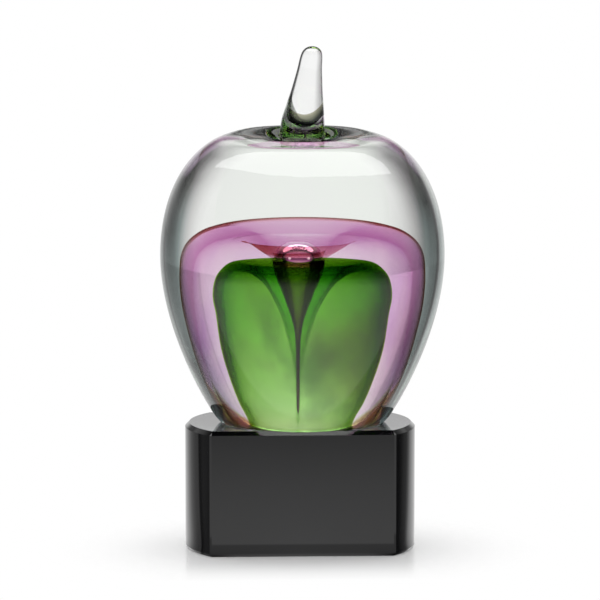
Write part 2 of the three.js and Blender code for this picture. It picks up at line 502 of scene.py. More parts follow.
def painted_stem_view(tree, x, z, height, reach, facing):
    """Painted view down the stem: clear glass above a painted dark band, mottled green below it."""
    sag = times(tree, squared(tree, x, 1.3 * MM), 375.0)
    # 20 mm at the stem's foot, spread over the whole ramp
    spread = times(tree, less(tree, less(tree, height, sag), 0.80), 10.0)
    bands = ramp(tree, spread, [
        (0.05, (0.76, 0.74, 0.60)), (0.15, (0.78, 0.76, 0.62)), (0.22, (1.0, 0.62, 0.95)),
        (0.355, (0.90, 0.48, 0.95)), (0.375, (1.0, 0.90, 1.0)), (0.398, (1.0, 0.90, 1.0)),
        (0.415, (0.002, 0.002, 0.002)), (0.50, (0.004, 0.005, 0.004)),
        (0.55, (0.035, 0.038, 0.022)), (0.62, (0.13, 0.13, 0.075)),
        (0.655, (0.26, 0.25, 0.15)), (0.67, WHITE),
    ])
    noise = add_node(
        tree, "ShaderNodeTexNoise", Scale=700.0, Detail=3.0, Vector=spot_on_piece(tree)
    )
    mottle = ramp(tree, noise.outputs["Fac"], [(0.35, (0.28, 0.40, 0.30)), (0.62, WHITE)])
    mottle = only_at(tree, ramp(tree, spread, [(0.34, 1.0), (0.38, 0.0)]), mottle)
    # above them painted shade darkens the outline; the stem leans over to the right as it rises
    risen = math_node(tree, "MAXIMUM", less(tree, z, 169.5 * MM), 0.0)
    middle = plus(tree, times(tree, risen, 0.126), APPLE_X * MM)
    edge = by_side(
        tree, over(tree, x, middle), facing,
        [(0.38, 1.0), (0.47, 0.06), (0.60, 0.0)],
        [(0.50, 1.0), (0.62, 0.20), (0.78, 0.0)],
    )
    edge = only_at(tree, ramp(tree, spread, [(0.64, 0.0), (0.70, 1.0)]), edge)
    tint = tinted(tree, bands, mottle, edge)
    # beside the dark band painted light keeps the stem's left wall pale
    left_wall = times(
        tree,
        ramp(
            tree,
            times(tree, x, -OVER_10_MM),
            [(0.44, 0.0), (0.50, 1.0), (0.80, 1.0), (0.86, 0.3)],
        ),
        ramp(tree, spread, [(0.10, 0.0), (0.25, 0.9), (0.62, 1.0), (0.80, 0.0)]),
    )
    tint = blend(tree, left_wall, tint, (0.62, 0.68, 0.62))
    in_stem = times(tree, over(tree, z, 161.2 * MM), under(tree, reach, 0.0925))
    return in_stem, tint


def painted_bubble_light(tree, z, height, reach):
    """Painted on the air's polished wall: a pale blue highlight on the crown, then a dark line of
    painted shade round the bubble's shoulder.
    """
    crown = ramp(tree, height, [
        (0.5935, WHITE), (0.5965, (0.16, 0.10, 0.12)), (0.5995, (0.90, 0.95, 1.0)),
        (0.6035, (0.62, 0.85, 0.90)),
    ])
    here = times(
        tree, under(tree, reach, 0.082), under(tree, z, 122.2 * MM), over(tree, z, 115.5 * MM)
    )
    return only_at(tree, here, crown)


def drift_group():
    """Slow drifts of tint in hand-gathered glass, drawn out along the height."""
    group, given = new_group("glass_drift", {"Scale": 25.0, "Stretch": 0.45, "Detail": 3.0})
    squeeze = add_node(group, "ShaderNodeCombineXYZ", X=1.0, Y=1.0, Z=given["Stretch"])
    drawn = add_node(group, "ShaderNodeVectorMath", operation="MULTIPLY")
    feed(group, drawn.inputs[0], spot_on_piece(group))
    feed(group, drawn.inputs[1], squeeze.outputs["Vector"])
    noise = add_node(group, "ShaderNodeTexNoise", Roughness=0.5, Vector=drawn.outputs["Vector"])
    for name in ("Scale", "Detail"):
        feed(group, noise.inputs[name], given[name])
    return give_out(group, {"Drift": noise.outputs["Fac"]})


def place_group():
    """Where a point of the coloured glass lies. Radius is from the funnel's axis and Girth from the
    apple's. Height is in millimetres over 200, the other lengths are in millimetres over 100."""
    group, _ = new_group("place_in_apple", {})
    x, y, z = apart(group, spot_on_piece(group))
    return give_out(
        group,
        {
            "Radius": reach_out(group, x, y, APPLE_X + FUNNEL_X),
            "Girth": reach_out(group, x, y),
            "Height": times(group, z, OVER_200_MM),
            "Low height": times(group, z, OVER_100_MM),
            "Across": about_middle(group, less(group, x, APPLE_X * MM)),
            "Depth": about_middle(group, y),
            "Front": under(group, y, 0.0),
        },
    )


def coloured_glass(name, absorbed):
    """Coloured glass cased in clear glass, which takes this much of each colour out a metre."""
    density = max(absorbed) / 0.9
    return glass(name, 1.0, tuple(1 - part / density for part in absorbed), density)


def pink_glass(drifts, places):
    material, tree, shader = coloured_glass("pink_glass", (17.0, 44.0, 22.0))
    place = use_group(tree, places)
    radius, girth, across = place["Radius"], place["Girth"], place["Across"]
    height, low_height, front = place["Height"], place["Low height"], place["Front"]
    facing = turned_away(tree)
    drift = use_group(tree, drifts, Scale=48.0, Stretch=0.6)["Drift"]
    streaks = ramp(tree, drift, [(0.36, (0.90, 0.78, 0.98)), (0.52, WHITE)])
    streaks = blend(tree, ramp(tree, height, [(0.33, 1.0), (0.40, 0.0)]), streaks, WHITE)
    # the front of the crest's underside, drawn down to the neck round the bubble, is deep crimson
    inward = less(tree, 0.155, radius)
    bend = times(tree, inward, inward, 6.67)
    crest = times(
        tree,
        under(tree, low_height, less(tree, 1.232, bend)),
        ramp(tree, height, [(0.577, 0.0), (0.588, 1.0)]),
        over(tree, inward, 0.0),
        front,
    )
    crimson = ramp(
        tree,
        across,
        [(0.40, (0.26, 0.03, 0.02)), (0.47, (0.40, 0.08, 0.10)), (0.62, (0.60, 0.26, 0.27))],
    )
    neck = only_at(tree, crest, crimson)
    # the bell's outside is what lies further out than this at each height
    outline = ramp(tree, height, [
        (0.252, 0.164), (0.310, 0.214), (0.356, 0.245), (0.4075, 0.270), (0.455, 0.286),
        (0.500, 0.300), (0.535, 0.306), (0.5575, 0.306), (0.574, 0.302), (0.586, 0.294),
        (0.5955, 0.280), (0.6015, 0.262), (0.6055, 0.255), (0.6080, 0.250), (0.6090, 0.0),
    ])
    outer = over(tree, girth, outline)
    # the gathered colour lies thickest in the outermost skin, and painted shade deepens it further
    # towards the outline
    side = ramp(tree, facing, [
        (0.0, WHITE), (0.58, (1.0, 0.99, 1.0)), (0.70, (0.98, 0.90, 0.95)),
        (0.76, (0.86, 0.74, 0.76)), (0.80, (0.60, 0.50, 0.46)), (0.85, (0.42, 0.34, 0.30)),
        (0.90, (0.34, 0.22, 0.18)), (1.0, (0.40, 0.30, 0.20)),
    ])
    back = ramp(tree, facing, [
        (0.38, WHITE), (0.62, (0.96, 0.80, 0.90)), (0.70, (0.92, 0.62, 0.76)),
        (0.77, (0.80, 0.44, 0.48)), (0.82, (0.40, 0.14, 0.12)), (0.87, (0.24, 0.07, 0.06)),
        (1.0, (0.22, 0.07, 0.05)),
    ])
    far_crest = times(
        tree, over(tree, place["Depth"], 0.55), ramp(tree, girth, [(0.17, 0.0), (0.20, 1.0)])
    )
    high = ramp(tree, height, [(0.594, 0.0), (0.606, 1.0)])
    rim = blend(tree, high, side, only_at(tree, far_crest, back))
    # the walls are gathered thicker low down, most of all on the right
    low = ramp(tree, height, [(0.46, 1.0), (0.58, 0.25)])
    walls = ramp(
        tree,
        across,
        [(0.28, (1.0, 0.97, 1.0)), (0.40, WHITE), (0.62, WHITE), (0.72, (0.78, 0.66, 0.70))],
    )
    rim = only_at(tree, outer, tinted(tree, rim, only_at(tree, low, walls)))
    # round the trumpet of air the colour is drawn thin; painted shade darkens it towards its
    # outline and in a ring round the bubble's shoulder
    sheath = ramp(tree, facing, [
        (0.0, (1.0, 0.66, 0.95)), (0.18, (0.92, 0.60, 0.85)), (0.32, (0.42, 0.30, 0.30)),
        (0.55, (0.34, 0.27, 0.23)), (1.0, (0.10, 0.08, 0.06)),
    ])
    ring = ramp(tree, height, [
        (0.5690, WHITE), (0.5712, (0.30, 0.13, 0.07)), (0.5770, (0.34, 0.14, 0.10)),
        (0.5795, WHITE),
    ])
    # down its thin tail it closes up, and painted shade turns it nearly black
    tail = ramp(tree, low_height, [
        (0.86, (0.50, 0.46, 0.42)), (0.91, (0.66, 0.62, 0.58)), (0.97, (0.94, 0.90, 0.90)),
        (1.0, WHITE),
    ])
    thin = times(tree, under(tree, radius, 0.072), under(tree, low_height, 1.157))
    rim = blend(tree, thin, rim, tinted(tree, sheath, ring, tail))
    # towards the foot the outer skin turns brown, from the outline inwards
    start = ramp(tree, height, [
        (0.252, 0.10), (0.27, 0.17), (0.285, 0.27), (0.30, 0.37), (0.315, 0.50), (0.336, 0.61),
        (0.347, 0.67), (0.38, 0.85), (0.57, 0.85), (0.585, 1.0),
    ])
    browned = less(tree, facing, start)
    outer_foot = ramp(
        tree, browned, [(0.0, WHITE), (0.025, (0.72, 0.48, 0.20)), (0.30, (0.60, 0.38, 0.16))]
    )
    inner_foot = ramp(tree, browned, [(0.0, WHITE), (0.03, (0.74, 0.95, 0.50))])
    inner_foot = only_at(tree, ramp(tree, height, [(0.345, 1.0), (0.375, 0.0)]), inner_foot)
    foot = blend(tree, outer, inner_foot, outer_foot)
    feed(tree, shader.inputs["Base Color"], tinted(tree, streaks, neck, rim, foot))
    # painted glow: the lower half of the bubble glows lilac, with two small painted highlights as
    # bright spots in it
    in_front = times(tree, under(tree, radius, 0.074), front)
    glow = BLACK
    for centre, level, half_width, half_height, light in (
        (0.4885, 0.5835, 0.041, 0.0060, (0.20, 0.055, 0.15)),
        (0.4620, 0.5842, 0.0042, 0.0022, (1.0, 0.95, 0.95)),
        (0.5150, 0.5842, 0.0042, 0.0022, (1.0, 0.95, 0.95)),
    ):
        aside = times(tree, squared(tree, across, centre), half_width**-2)
        above = times(tree, squared(tree, height, level), half_height**-2)
        spot = ramp(tree, plus(tree, aside, above), [(0.60, 1.0), (1.0, 0.0)])
        glow = blend(tree, times(tree, in_front, spot), glow, light)
    feed(tree, shader.inputs["Emission Color"], glow)
    shader.inputs["Emission Strength"].default_value = 1.0
    return material


def green_glass(drifts, places):
    material, tree, shader = coloured_glass("green_glass", (156.0, 84.0, 320.0))
    place = use_group(tree, places)
    radius, girth = place["Radius"], place["Girth"]
    height, low_height = place["Height"], place["Low height"]
    facing = turned_away(tree)
    # the colour is gathered thicker on the right of the bell
    right = ramp(tree, place["Across"], [(0.5, 0.0), (0.65, 1.0)])
    drift = use_group(tree, drifts, Scale=58.0, Stretch=0.55)["Drift"]
    drift = less(tree, drift, times(tree, right, 0.07))
    clouds = ramp(tree, drift, [(0.34, (0.62, 0.66, 0.66)), (0.50, WHITE)])
    clouds = blend(tree, ramp(tree, height, [(0.255, 1.0), (0.33, 0.0)]), clouds, WHITE)
    gathered = only_at(tree, right, (0.80, 0.84, 0.78))
    belly = ramp(tree, height, [(0.30, 0.0), (0.36, 1.0), (0.46, 1.0), (0.52, 0.0)])
    warm = times(tree, right, belly)
    gathered = blend(tree, warm, gathered, (1.0, 0.86, 0.84), "MULTIPLY")
    wall = ramp(tree, low_height, [
        (0.52, (0.94, 1.0, 0.84)), (0.65, (0.72, 0.92, 0.64)), (0.79, (0.66, 0.92, 0.54)),
        (1.0, (0.58, 0.96, 0.40)),
    ])
    funnel = ramp(tree, low_height, [(0.72, (0.90, 0.96, 0.86)), (0.95, (0.68, 0.90, 0.22))])
    wall = blend(tree, ramp(tree, radius, [(0.09, 0.0), (0.13, 1.0)]), funnel, wall)
    outline = ramp(tree, height, [
        (0.252, 0.090), (0.3035, 0.132), (0.3325, 0.158), (0.3875, 0.187), (0.4365, 0.205),
        (0.493, 0.217), (0.5175, 0.224), (0.535, 0.223), (0.549, 0.215), (0.5585, 0.205),
        (0.5625, 0.190), (0.565, 0.0),
    ])
    outer = over(tree, girth, outline)
    # painted shade darkens the green towards its outline, and a painted highlight runs pale along
    # the outline itself
    rim = ramp(tree, facing, [
        (0.38, WHITE), (0.52, (0.82, 0.88, 0.78)), (0.61, (0.58, 0.68, 0.46)),
        (0.68, (0.38, 0.44, 0.28)), (0.74, (0.20, 0.19, 0.14)), (0.80, (0.22, 0.20, 0.12)),
        (0.84, (0.55, 0.52, 0.20)), (0.88, (1.0, 1.0, 0.60)),
    ])
    rim = blend(tree, ramp(tree, height, [(0.552, 0.0), (0.563, 1.0)]), rim, WHITE)
    # it is thickest round the crest, and thinner by the foot, where the painted outline shade is
    # fainter
    crest = ramp(tree, height, [(0.54, WHITE), (0.562, (0.36, 0.50, 0.13))])
    slight = ramp(tree, height, [(0.30, 0.35), (0.42, 1.0)])
    rim = only_at(tree, slight, tinted(tree, rim, crest))
    # the funnel has a fine dark edge of painted shade where it turns down
    turned_down = times(tree, under(tree, radius, 0.165), over(tree, low_height, 0.80))
    edge = ramp(tree, facing, [
        (0.62, WHITE), (0.78, (0.62, 0.66, 0.45)), (0.90, (0.30, 0.34, 0.16)),
        (1.0, (0.20, 0.24, 0.10)),
    ])
    rim = blend(tree, outer, only_at(tree, turned_down, edge), rim)
    feed(tree, shader.inputs["Base Color"], tinted(tree, clouds, wall, gathered, rim))
    return material


def black_crystal():
    material, tree, shader, _ = new_material("black_crystal")
    body = (0.003, 0.003, 0.0035)
    # its polished top face lifts to grey towards the front edge, a painted reflection
    _, y, z = apart(tree, spot_on_piece(tree))
    painted_top_reflection = ramp(
        tree,
        about_middle(tree, y),
        [(0.22, (0.26, 0.26, 0.27)), (0.40, (0.13, 0.13, 0.135)), (0.72, body)],
    )
    top_face = over(tree, z, (BLOCK_HEIGHT - 0.05) * MM)
    feed(tree, shader.inputs["Base Color"], blend(tree, top_face, body, painted_top_reflection))
    shader.inputs["Roughness"].default_value = 0.02
    shader.inputs["IOR"].default_value = GLASS_IOR
    return material


def cured_bond():
    material, _, shader, _ = new_material("cured_bond")
    shader.inputs["Base Color"].default_value = (0.02, 0.022, 0.02, 1)
    shader.inputs["Roughness"].default_value = 0.2
    return material


def apple_profile():
    """Out over the hollow's floor and lip, down the shoulder and belly, and in under the foot."""
    seat, crest = (9.0, HOLLOW_FLOOR), (LIP_RADIUS, LIP_HEIGHT)
    belly, knee = (56.5, 117.0), (36.0, 54.4)
    flare, climb = belly[0] - knee[0], belly[1] - knee[1]
    shoulder, crown = belly[0] - crest[0], crest[1] - belly[1]
    over_shoulder = (crest[0] + shoulder * 0.725, crest[1])
    above_belly = (belly[0], belly[1] + crown * 0.47)
    below_belly = (belly[0], belly[1] - climb * 0.435)
    above_knee = (knee[0] + flare * 0.225, knee[1] + climb * 0.11)
    return [
        (0.0, HOLLOW_FLOOR),
        (4.5, HOLLOW_FLOOR),
        seat,
        *curve_run(seat, (13.0, HOLLOW_FLOOR), (12.5, LIP_HEIGHT), crest, 12),
        *curve_run(crest, over_shoulder, above_belly, belly, 40),
        *curve_run(belly, below_belly, above_knee, knee, 40),
        (34.8, 52.6),
        (33.3, 50.9),
        (32.4, 50.35),
        (28.0, APPLE_FOOT),
        (14.0, APPLE_FOOT),
        (0.0, APPLE_FOOT),
    ]


# Below, lines of (radius, height) points in millimetres, each in the order of its profile.
AIR_CAP = [(0.0, 121.4), (1.8, 121.3), (3.5, 120.75), (5.0, 119.75), (6.0, 118.5), (6.44, 117.0)]
AIR_LINE = [
    (6.44, 117.0), (6.32, 115.4), (6.05, 113.6), (5.35, 110.8), (4.6, 108.6), (3.87, 106.7),
    (2.92, 103.6), (2.05, 100.6), (1.1, 96.7), (0.6, 93.4), (0.40, 90.5), (0.32, 86.0),
    (0.26, 80.0), (0.22, 74.0), (0.18, 68.0), (0.10, 64.6),
]
PINK_SIDE = [
    (17.9, 50.35), (20.0, 56.2), (22.0, 62.0), (25.3, 71.2), (28.0, 81.5), (30.0, 91.0),
    (31.6, 100.0), (32.3, 107.0), (32.4, 111.0), (32.25, 114.6), (31.8, 116.9), (31.0, 118.8),
    (29.6, 120.75), (27.2, 122.75), (24.8, 123.85), (22.2, 124.65), (19.0, 125.15), (16.0, 125.2),
]
PINK_DIP = [
    (16.0, 125.2), (13.4, 124.6), (11.0, 123.3), (9.2, 121.7), (7.9, 120.0), (7.0, 118.4),
    (6.62, 117.0),
]
PINK_UNDER = [
    (6.9, 115.4), (7.3, 116.2), (8.6, 117.3), (10.4, 118.5), (12.2, 119.8), (13.4, 120.7),
    (14.6, 121.35), (16.5, 121.45), (19.5, 121.1), (22.5, 120.3), (25.0, 119.1), (27.0, 117.2),
    (28.2, 114.8), (28.8, 111.5), (28.9, 107.0), (28.5, 100.0), (27.3, 91.0), (25.9, 81.5),
    (23.7, 71.2), (20.8, 62.0), (18.9, 56.2), (17.0, 50.35),
]
GREEN_SIDE = [
    (11.0, 50.4), (14.4, 60.7), (16.6, 66.5), (19.5, 77.5), (21.5, 87.3), (22.8, 98.6),
    (23.6, 103.5), (23.5, 107.4), (22.6, 110.7), (20.6, 113.4), (18.8, 114.6), (16.8, 115.0),
]
GREEN_IN = [
    (16.8, 115.0), (14.3, 114.3), (11.6, 112.4), (9.2, 109.6), (7.3, 106.4), (5.6, 103.2),
    (3.9, 98.6), (2.4, 91.7), (1.25, 85.0), (0.7, 79.0), (0.42, 72.0), (0.3, 60.0),
]
GREEN_UNDER = [
    (0.6, 60.0), (0.72, 72.0), (1.05, 79.0), (1.75, 85.0), (2.95, 91.7), (4.6, 98.6),
    (6.9, 104.4), (8.7, 107.6), (10.6, 109.8), (13.0, 111.5), (15.2, 112.3), (17.0, 112.5),
    (18.9, 111.7), (20.2, 109.8), (21.1, 107.0), (21.3, 103.4), (20.6, 98.6), (19.6, 87.3),
    (17.9, 77.5), (15.4, 66.5), (13.2, 60.7), (9.9, 50.4),
]
# The stem's rings, from its foot up: the height, the radius and how far it leans to the right.
STEM_RINGS = [
    (157.5, 9.0, 0.0), (161.0, 9.05, 0.0), (164.5, 8.95, 0.0), (168.0, 8.75, 0.05),
    (172.0, 8.30, 0.35), (176.7, 7.35, 1.0), (181.5, 6.36, 1.65), (186.3, 5.57, 2.3),
    (191.0, 4.85, 2.9), (195.0, 4.45, 3.45), (197.2, 3.95, 3.75), (198.6, 2.95, 3.85),
    (199.35, 1.7, 3.85), (199.6, 0.6, 3.85),
]


def air_profile():
    return [*smooth_run(AIR_CAP, 6), *smooth_run(AIR_LINE, 6)[1:], (0.0, 64.2)]


def air_radius(height):
    for (r1, z1), (r2, z2) in zip(AIR_LINE, AIR_LINE[1:]):
        if z2 <= height <= z1:
            return r1 + (r2 - r1) * (height - z1) / (z2 - z1)
    return AIR_LINE[-1][0]


def pink_wall(height):
    """How thick the pink is round the trumpet: it thins out down the tail."""
    return max(0.12, 0.60 * (height - 78) / 36)


def pink_profile():
    """Up the outside, over the crest, down round the trumpet, and back up and out on the inside."""
    down = [z for _, z in AIR_LINE[2:-1]] + [64.0]
    near = [(air_radius(z) + AIR_GAP, z) for z in down]
    far = [(air_radius(z) + AIR_GAP + pink_wall(z), z) for z in down]
    outer = smooth_run(PINK_SIDE, 5)
    dip = smooth_run(PINK_DIP, 5)
    neck = smooth_run([PINK_DIP[-1], *near], 4)
    back = smooth_run([*reversed(far), PINK_UNDER[0]], 4)
    under_side = smooth_run(PINK_UNDER, 5)
    tip = [(0.0, 62.6), (0.0, 61.6)]
    return [*outer, *dip[1:], *neck[1:], *tip, *back, *under_side[1:], outer[0]]


def green_profile():
    """Up the outside, over the crest, down into the funnel, and back up and out on the inside."""
    outer = smooth_run(GREEN_SIDE, 5)
    dip = smooth_run(GREEN_IN, 5)
    tip = [(0.0, 58.6), (0.0, 57.9)]
    return [*outer, *dip[1:], *tip, *smooth_run(GREEN_UNDER, 5), outer[0]]


def stem():
    """Rings drawn out of a circle one by one, each moved over and drawn in towards the tip."""
    first_height, first_radius, _ = STEM_RINGS[0]
    lay_down_tools()
    bpy.ops.mesh.primitive_circle_add(
        vertices=STEM_STEPS, radius=first_radius * MM, fill_type="NGON"
    )
    piece = bpy.context.object
    bpy.ops.object.mode_set(mode="EDIT")
    bpy.ops.mesh.select_all(action="SELECT")
    bpy.ops.transform.translate(value=(0, 0, first_height * MM))
    widths = smooth_run([(radius, height) for height, radius, lean in STEM_RINGS], 4)
    leans = smooth_run([(lean, height) for height, radius, lean in STEM_RINGS], 4)
    centre = Vector((0, 0, first_height * MM))
    before = widths[0][0]
    for (radius, height), (lean, _) in zip(widths[1:], leans[1:]):
        target = Vector((lean * MM, 0, height * MM))
        bpy.ops.mesh.extrude_region_move(TRANSFORM_OT_translate={"value": tuple(target - centre)})
        factor = radius / before
        bpy.ops.transform.resize(value=(factor, factor, 1), center_override=tuple(target))
        centre, before = target, radius
    bpy.ops.mesh.select_all(action="SELECT")
    bpy.ops.mesh.normals_make_consistent(inside=False)
    bpy.ops.object.mode_set(mode="OBJECT")
    piece.name = "stem_work"
    return piece


def lower_front_lip(apple):
    """The hollow round the stem is hand pressed: its lip is a low shelf in front and beside it."""
    for vertex in apple.data.vertices:
        x, y, z = (value / MM for value in vertex.co)
        reach = math.hypot(x, y)
        if z < 150 or z > LIP_HEIGHT + 2:
            continue
        if reach < LIP_RADIUS:
            drop = LIP_DROP * ease(reach, 9.2, 14.5)
        else:
            # what stands above the shelf, which falls off outwards, comes down to it
            above = z - (LIP_HEIGHT - LIP_DROP - 0.045 * (reach - LIP_RADIUS))
            drop = above if above > 0.5 else max(0.0, above + 0.5) ** 2 / 2.0
        vertex.co.z -= drop * ease(y, 14.0, -4.0) * ease(abs(x), 36.0, 15.0) * MM


def clear_apple(material):
    """The apple with its stem fused on, and the trapped air as a hollow in it."""
    apple = turned("glass_apple", apple_profile(), APPLE_STEPS)
    shoot = stem()
    pick_up(apple)
    bpy.ops.object.modifier_add(type="BOOLEAN")
    join = apple.modifiers[-1]
    join.operation = "UNION"
    join.solver = "EXACT"
    join.object = shoot
    bpy.ops.object.modifier_apply(modifier=join.name)
    lay_down_tools()
    bpy.data.objects.remove(shoot)
    air = turned("air_work", air_profile(), AIR_STEPS, inward=True)
    shift(air, FUNNEL_X)
    lower_front_lip(apple)
    pick_up(apple)
    air.select_set(True)
    bpy.ops.object.join()
    shift(apple, APPLE_X)
    parts = ["clear_casing", "clear_middle", "clear_core", "stem"]
    finish_piece(apple, material, parts, crease=30)


def pink_bell(material):
    bell = turned("pink_bell_glass", pink_profile(), BELL_STEPS)
    shift(bell, FUNNEL_X, radius=30)
    shift(bell, APPLE_X)
    finish_piece(bell, material, ["pink_bell"], crease=60)


def green_bell(material):
    bell = turned("green_bell_glass", green_profile(), BELL_STEPS)
    shift(bell, FUNNEL_X, radius=24)
    shift(bell, APPLE_X)
    finish_piece(bell, material, ["green_bell"], crease=60)


def bevel_edges(piece, width, chosen):
    """Bevels the edges that the test picks by their two ends, which it gets in millimetres."""
    bpy.ops.object.mode_set(mode="EDIT")
    bpy.ops.mesh.select_mode(type="EDGE")
    bpy.ops.mesh.select_all(action="DESELECT")
    bpy.ops.object.mode_set(mode="OBJECT")
    mesh = piece.data
    for edge in mesh.edges:
        edge.select = chosen(*(mesh.vertices[i].co / MM for i in edge.vertices))
    bpy.ops.object.mode_set(mode="EDIT")
    bpy.ops.mesh.bevel(offset=width * MM, segments=1, affect="EDGES")
    bpy.ops.object.mode_set(mode="OBJECT")


def crystal_block(material):
    """A round slab, cut flat at the front and the back, with bevelled rims and arrises."""
    lay_down_tools()
    bpy.ops.mesh.primitive_cylinder_add(
        vertices=BLOCK_STEPS, radius=BLOCK_RADIUS * MM, depth=BLOCK_HEIGHT * MM, location=(0, 0, 0)
    )
    block = bpy.context.object
    block.name = "crystal_block"
    bpy.ops.object.mode_set(mode="EDIT")
    bpy.ops.mesh.select_all(action="SELECT")
    bpy.ops.transform.translate(value=(0, 0, BLOCK_HEIGHT / 2 * MM))
    for side in (-1, 1):
        bpy.ops.mesh.select_all(action="SELECT")
        cut = (0, side * BLOCK_HALF_DEPTH * MM, 0)
        bpy.ops.mesh.bisect(plane_co=cut, plane_no=(0, side, 0), use_fill=True, clear_outer=True)
    bpy.ops.object.mode_set(mode="OBJECT")
    corner_x = math.sqrt(BLOCK_RADIUS**2 - BLOCK_HALF_DEPTH**2)

    def at_corner(a, b):
        upright = abs(a.z - b.z) > 40
        at_side = abs(abs(a.x) - corner_x) < 0.3
        return upright and at_side and abs(abs(a.y) - BLOCK_HALF_DEPTH) < 0.2

    def on_top(a, b):
        return abs(a.z - BLOCK_HEIGHT) < 0.01 and abs(b.z - BLOCK_HEIGHT) < 0.01

    def on_foot(a, b):
        return abs(a.z) < 0.01 and abs(b.z) < 0.01

    bevel_edges(block, CORNER_ARRIS, at_corner)
    bevel_edges(block, TOP_BEVEL, on_top)
    bevel_edges(block, FOOT_BEVEL, on_foot)
    bpy.ops.object.mode_set(mode="EDIT")
    bpy.ops.mesh.select_all(action="SELECT")
    bpy.ops.mesh.remove_doubles(threshold=1e-6)
    bpy.ops.mesh.normals_make_consistent(inside=False)
    bpy.ops.object.mode_set(mode="OBJECT")
    finish_piece(block, material, ["base_block"], crease=12)


def surroundings_group():
    """How bright the studio is in each direction, as the crystal mirrors it and as the glass bends
    it."""
    group, given = new_group("surroundings", {"Way": None, "Half radius": 0.0})
    x, y, _ = apart(group, given["Way"])
    turn = math_node(group, "ARCTAN2", x, y)
    away = math_node(group, "DIVIDE", math_node(group, "ABSOLUTE", turn), math.pi)
    # the block's round ends see the table close by at half the turn that they see it far off
    off = add_node(group, "ShaderNodeCombineXYZ", X=x, Y=y)
    reach = length(group, off.outputs["Vector"])
    nearness = math_node(group, "DIVIDE", given["Half radius"], reach)
    nearness = math_node(group, "MINIMUM", nearness, 0.5)
    toward = math_node(group, "DIVIDE", less(group, 1.0, away), less(group, 1.0, nearness))
    toward = times(group, math_node(group, "MINIMUM", toward, 1.0), 0.5)
    mirrored = by_side(
        group, over(group, x, 0.0), toward,
        [
            (0.0, 0.92), (0.15, 0.84), (0.25, 0.70), (0.285, 0.28), (0.30, 0.165), (0.33, 0.165),
            (0.345, 0.07), (0.353, 0.07), (0.357, 0.36), (0.374, 0.34), (0.389, 0.40),
            (0.406, 0.49), (0.427, 0.70), (0.455, 0.92), (0.50, 1.0),
        ],
        [
            (0.0, 0.92), (0.15, 0.84), (0.25, 0.70), (0.285, 0.28), (0.297, 0.035), (0.325, 0.035),
            (0.336, 0.065), (0.353, 0.145), (0.374, 0.19), (0.389, 0.41), (0.406, 0.84),
            (0.427, 1.0), (0.50, 1.0),
        ],
    )
    # the table and the wall are less lit to the left of the panel, and the panel on its right
    side = plus(group, math_node(group, "DIVIDE", turn, 2 * math.pi), 0.5)
    table = ramp(group, side, [(0.26, 1.0), (0.32, 0.62), (0.39, 0.56), (0.42, 0.76), (0.45, 1.0)])
    wall = ramp(group, side, [
        (0.26, 1.0), (0.32, 0.62), (0.345, 0.64), (0.37, 0.90), (0.40, 0.98), (0.53, 1.0),
        (0.58, 0.84), (0.60, 0.78), (0.605, 1.0),
    ])
    return give_out(group, {"Mirrored": mirrored, "Behind": away, "Table": table, "Wall": wall})


def glow_of(tree, strength):
    return add_node(tree, "ShaderNodeEmission", Strength=strength).outputs["Emission"]


def blend_surfaces(tree, share, first, second):
    mix = add_node(tree, "ShaderNodeMixShader")
    for socket, value in zip(mix.inputs, (share, first, second)):
        feed(tree, socket, value)
    return mix.outputs["Shader"]


def white_floor(surroundings):
    """The table as the eye sees it, as the polish mirrors it and as the glass bends it."""
    lay_down_tools()
    bpy.ops.mesh.primitive_circle_add(vertices=96, radius=6.0, fill_type="NGON", location=(0, 0, 0))
    floor = bpy.context.object
    floor.name = "studio_floor"
    material, tree, shader, output = new_material("studio_floor")
    shader.inputs["Base Color"].default_value = (0.86, 0.86, 0.86, 1)
    shader.inputs["Roughness"].default_value = 0.16
    table_top = add_node(tree, "ShaderNodeAddShader")
    feed(tree, table_top.inputs[0], shader.outputs["BSDF"])
    feed(tree, table_top.inputs[1], glow_of(tree, 0.11))
    spot = spot_on_piece(tree)
    distance = length(tree, spot)
    _, y, _ = apart(tree, spot)
    half_radius = {"Half radius": BLOCK_RADIUS / 2 * MM}
    around = use_group(tree, surroundings, Way=spot, **half_radius)
    # seen by the block's and the apple's polish, the table fades with its distance
    near = ramp(
        tree, distance, [(0.03, 1.05), (0.06, 1.05), (0.20, 1.0), (0.45, 0.80), (1.0, 0.80)]
    )
    front = ramp(
        tree,
        times(tree, y, -1.0),
        [
            (0.0, 0.82), (0.0555, 0.82), (0.0585, 1.40), (0.20, 1.14), (0.40, 0.60), (0.50, 0.25),
            (0.60, 0.06), (1.0, 0.02),
        ],
    )
    far = ramp(tree, distance, [(0.44, 1.0), (0.62, 0.32), (1.0, 0.08)])
    ahead = ramp(tree, around["Behind"], [(0.40, 0.0), (0.55, 1.0)])
    fade = blend(tree, ahead, near, tinted(tree, front, far))
    mirrored = times(tree, around["Mirrored"], fade)
    bent = ramp(tree, around["Behind"], [(0.0, 0.98), (0.20, 0.95), (0.35, 0.75), (0.5, 0.85)])
    bent = times(tree, bent, around["Table"])
    # further off it runs out into the white backdrop
    beyond_flat = less(tree, math_node(tree, "ABSOLUTE", y), BLOCK_HALF_DEPTH * MM)
    beyond_round = less(tree, distance, BLOCK_RADIUS * MM)
    beyond = math_node(tree, "MAXIMUM", beyond_flat, beyond_round)
    off = ramp(
        tree,
        times(tree, beyond, OVER_100_MM),
        [(0.0, 0.04), (0.13, 0.14), (0.23, 0.35), (0.37, 0.70), (0.52, 0.99), (0.60, 1.0)],
    )
    path = add_node(tree, "ShaderNodeLightPath").outputs
    surface = blend_surfaces(tree, off, table_top.outputs["Shader"], glow_of(tree, 1.0))
    surface = blend_surfaces(tree, path["Is Glossy Ray"], surface, glow_of(tree, mirrored))
    surface = blend_surfaces(tree, path["Is Transmission Ray"], surface, glow_of(tree, bent))
    feed(tree, output.inputs["Surface"], surface)
    floor.data.materials.append(material)


